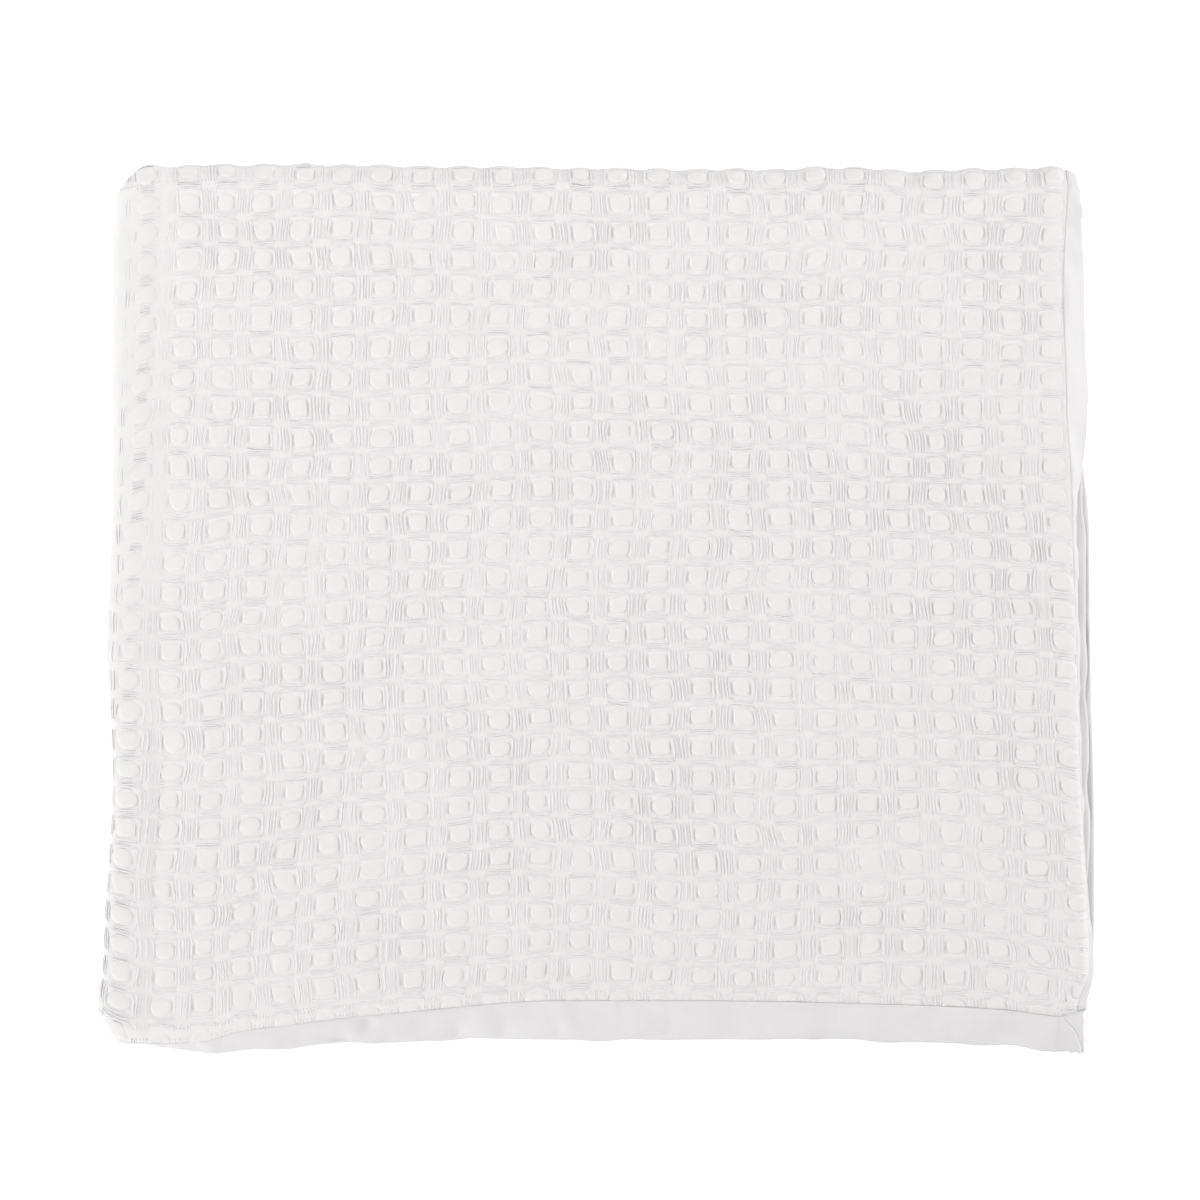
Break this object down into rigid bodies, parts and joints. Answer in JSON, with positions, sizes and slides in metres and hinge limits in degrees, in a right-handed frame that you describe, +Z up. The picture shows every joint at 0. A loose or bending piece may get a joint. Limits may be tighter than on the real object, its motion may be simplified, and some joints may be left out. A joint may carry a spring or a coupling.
{
  "type": "folded quilt",
  "caption": "Washed waffle-weave cotton quilt with a plain-weave binding, folded in half and then in thirds into a flat stack.",
  "frame": {"origin": "on the surface it lies on, under the middle of the folded quilt", "axes": "+X right across the width, towards the bound sides; +Y away from the near hem, towards the far fold; +Z up"},
  "size_m": [0.6496, 0.5793, 0.0394],
  "materials": {
    "waffle_cotton": "matte giant waffle weave, washed and puckered",
    "plain_cotton": "matte plain weave"
  },
  "bodies": {
    "root": {"waffle_cloth": "waffle_cotton", "binding_upper_side": "plain_cotton", "binding_lower_side": "plain_cotton", "binding_near_end": "plain_cotton", "binding_hidden_end": "plain_cotton"}
  },
  "joints": []
}
